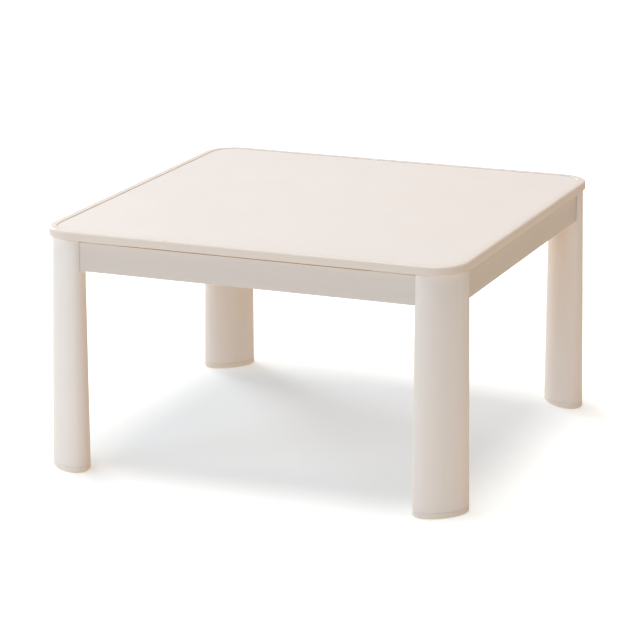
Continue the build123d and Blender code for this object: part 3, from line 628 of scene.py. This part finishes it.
# %% [markdown]
# ## Pressed beads in the heater's roof
# A flat sheet drums and buckles when it is heated, so the press raises beads in it. A bead is a
# low soft ridge that follows a rounded square. Its cross-section is walked round that path, and
# each point of it stands up from the roof by the height of the ridge there.

# %% Beads on the case
bead_height = 1.3 * mm
bead_half_width = 4.5 * mm
bead_steps = 10
arc_steps = 10
bead_squares = ((127 * mm, 20 * mm), (88 * mm, 30 * mm), (50 * mm, 20 * mm))


def rounded_square(half, radius):
    """Points round a square with round corners, each with its outward direction."""
    path = []
    for quarter, (x, y) in enumerate(((1, 1), (-1, 1), (-1, -1), (1, -1))):
        corner = Vector((x, y, 0)) * (half - radius)
        for step in range(arc_steps + 1):
            angle = math.tau / 4 * (quarter + step / arc_steps)
            outward = Vector((math.cos(angle), math.sin(angle), 0))
            path.append((corner + outward * radius, outward))
    return path


def bead(name, half, radius, level):
    """A ridge along a rounded square, standing on this level."""
    path = rounded_square(half, radius)
    points, faces = [], []
    for middle, outward in path:
        for step in range(bead_steps + 1):
            share = 2 * step / bead_steps - 1
            rise = bead_height / 2 * (1 + math.cos(math.pi * share))
            points.append(middle + outward * share * bead_half_width + Vector((0, 0, level + rise)))
    width = bead_steps + 1
    for index in range(len(path)):
        here, after = index * width, (index + 1) % len(path) * width
        for step in range(bead_steps):
            faces.append((here + step, here + step + 1, after + step + 1, after + step))
    mesh = bpy.data.meshes.new(name)
    mesh.from_pydata(points, [], faces)
    return mesh


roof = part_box("heater_case")[1].z
beads = [bead("bead", half, radius, roof) for half, radius in bead_squares]
set_piece("case_beads", join_meshes("case_beads", beads), spangle, "frame", "case_steel")

# %% [markdown]
# ## The studio
# The floor is one wide plain sheet, a single face. It belongs to the stage, not to the table.

# %% The floor's sheet
floor_reach = 9.0
mesh = bpy.data.meshes.new("studio_floor")
floor_corners = [(x * floor_reach, y * floor_reach, 0) for x, y in ((-1, -1), (1, -1), (1, 1), (-1, 1))]
mesh.from_pydata(floor_corners, [], [(0, 1, 2, 3)])
floor = bpy.data.objects.new("studio_floor", mesh)
bpy.context.scene.collection.objects.link(floor)
print("floor", 2 * floor_reach, "m wide")

# %% [markdown]
# The sheet looks white to the camera, the more so the farther it lies from the table, so it
# runs into the white behind it without an edge. A matt shader takes the table's soft shadow,
# and a glow that grows with distance washes it out.

# %% What the camera sees of the floor
paper = bpy.data.materials.new("studio_paper")
paper.use_nodes = True
paper.node_tree.nodes.clear()

white = (1, 1, 1, 1)
place = add(paper, "TexCoord", {}, output="Object")
from_table = add(paper, "VectorMath", {0: place}, output="Value", operation="LENGTH")
fade = {"Value": from_table, "From Min": 0.9, "From Max": 2.4, "To Min": 0.25, "To Max": 1.0}
white_sheet = add(paper, "BsdfDiffuse", {"Color": (0.93, 0.93, 0.93, 1)})
white_glow = add(paper, "Emission", {"Color": white, "Strength": add(paper, "MapRange", fade)})
to_camera = add(paper, "AddShader", {0: white_sheet, 1: white_glow})
print("the floor is pure white from", fade["From Max"], "m on")

# %% [markdown]
# What the floor gives back to the table is warmer than it looks: a warm diffuse colour for the
# light that it reflects, and on top of it a glow, painted light, as from a wooden room in
# daylight, a little brighter on the side of the windows. The Light Path node tells a ray of the
# camera from any other, so the two looks share one sheet. Its underside lets the view through,
# so that the table can also be seen from below.

# %% What the floor gives back
window_side, far_side = (0.50, 0.39, 0.25, 1), (0.43, 0.34, 0.215, 1)
blend_reach = 0.8


def show(owner, kind, surface):
    """Ends a node tree in an output of this kind."""
    end = owner.node_tree.nodes.new("ShaderNode" + kind)
    owner.node_tree.links.new(surface, end.inputs["Surface"])


across = add(paper, "SeparateXYZ", {"Vector": place}, output="X")
side = add(paper, "MapRange", {"Value": across, "From Min": -blend_reach, "From Max": blend_reach})
room_glow_tone = add(paper, "ValToRGB", {"Fac": side})
for element, colour in zip(room_glow_tone.node.color_ramp.elements, (window_side, far_side)):
    element.color = colour
warm_sheet = add(paper, "BsdfDiffuse", {"Color": (0.62, 0.53, 0.45, 1)})
# Painted light: for every ray but the camera's, the floor glows, brighter on the side of the windows.
warm_room_glow = add(paper, "Emission", {"Color": room_glow_tone, "Strength": 1.0})
to_table = add(paper, "AddShader", {0: warm_sheet, 1: warm_room_glow})

by_camera = add(paper, "LightPath", {}, output="Is Camera Ray")
upper_side = add(paper, "MixShader", {0: by_camera, 1: to_table, 2: to_camera})
from_below = add(paper, "NewGeometry", {}, output="Backfacing")
see_through = add(paper, "BsdfTransparent", {})
show(paper, "OutputMaterial", add(paper, "MixShader", {0: from_below, 1: upper_side, 2: see_through}))
mesh.materials.append(paper)
print("floor's material has", len(paper.node_tree.nodes), "nodes")

# %% [markdown]
# Daylight comes from the left through three broad windows, cool against the warmth that the
# floor sends back. A large soft light overhead and a cool one in front fill in the rest.

# %% Light
window_width = 2.6
skylight_width = 3.0
sky_blue = (0.5, 0.78, 1.0)


def soft_light(name, place, width, watts, colour, target=(0, 0, 0.25)):
    """A round soft light that looks at the table."""
    light = bpy.data.lights.new(name, "AREA")
    light.shape = "DISK"
    light.size = width
    light.energy = watts
    light.color = colour
    lamp = bpy.data.objects.new(name, light)
    bpy.context.scene.collection.objects.link(lamp)
    lamp.location = place
    lamp.rotation_euler = (Vector(place) - Vector(target)).to_track_quat("Z", "Y").to_euler()
    print(name, watts, "W")


soft_light("side_window", (-5.0, -0.6, 1.6), window_width, 61, sky_blue)
soft_light("corner_window", (-3.6, -3.6, 1.6), window_width, 46, (0.57, 0.81, 1.0))
soft_light("rear_window", (-4.0, 3.0, 1.5), window_width, 168, (0.81, 0.92, 1.0))
soft_light("overhead", (0, 0, 5.0), skylight_width, 193, (1.0, 0.94, 0.86))
soft_light("front_fill", (0.8, -5.5, 1.8), window_width, 77, sky_blue)

# %% [markdown]
# The world gives an even dim glow, so that no reflection is black, and shows white to the
# camera wherever the floor ends.

# %% World
world = bpy.data.worlds.new("studio_world")
bpy.context.scene.world = world
world.use_nodes = True
world.node_tree.nodes.clear()
dim_glow = add(world, "Background", {"Color": white, "Strength": 0.2})
backdrop = add(world, "Background", {"Color": white, "Strength": 1.0})
by_camera = add(world, "LightPath", {}, output="Is Camera Ray")
show(world, "OutputWorld", add(world, "MixShader", {0: by_camera, 1: dim_glow, 2: backdrop}))
bpy.context.scene.view_settings.view_transform = "Standard"
print("world has", len(world.node_tree.nodes), "nodes")

# %% [markdown]
# ## The camera
# The camera stands in front, 22 degrees to the right and 15 degrees above, far back with a long
# lens, so that the table's edges stay nearly parallel. Its axes are built from those two
# angles.

# %% Camera
azimuth, elevation = math.radians(21.98), math.radians(15.28)
stand = Vector((1.6319, -4.0703, 1.3872))
focal_length = 158.87

forward = Vector((-math.sin(azimuth) * math.cos(elevation), math.cos(azimuth) * math.cos(elevation),
                  -math.sin(elevation)))
right = Vector((math.cos(azimuth), math.sin(azimuth), 0))
up = right.cross(forward)

lens = bpy.data.cameras.new("view")
lens.lens = focal_length
lens.sensor_width = 36
lens.clip_start, lens.clip_end = 0.1, 100
camera = bpy.data.objects.new("view", lens)
bpy.context.scene.collection.objects.link(camera)
camera.matrix_world = Matrix.Translation(stand) @ Matrix((right, up, -forward)).transposed().to_4x4()
bpy.context.scene.camera = camera
print("camera", [round(x, 3) for x in camera.location], "lens", lens.lens)
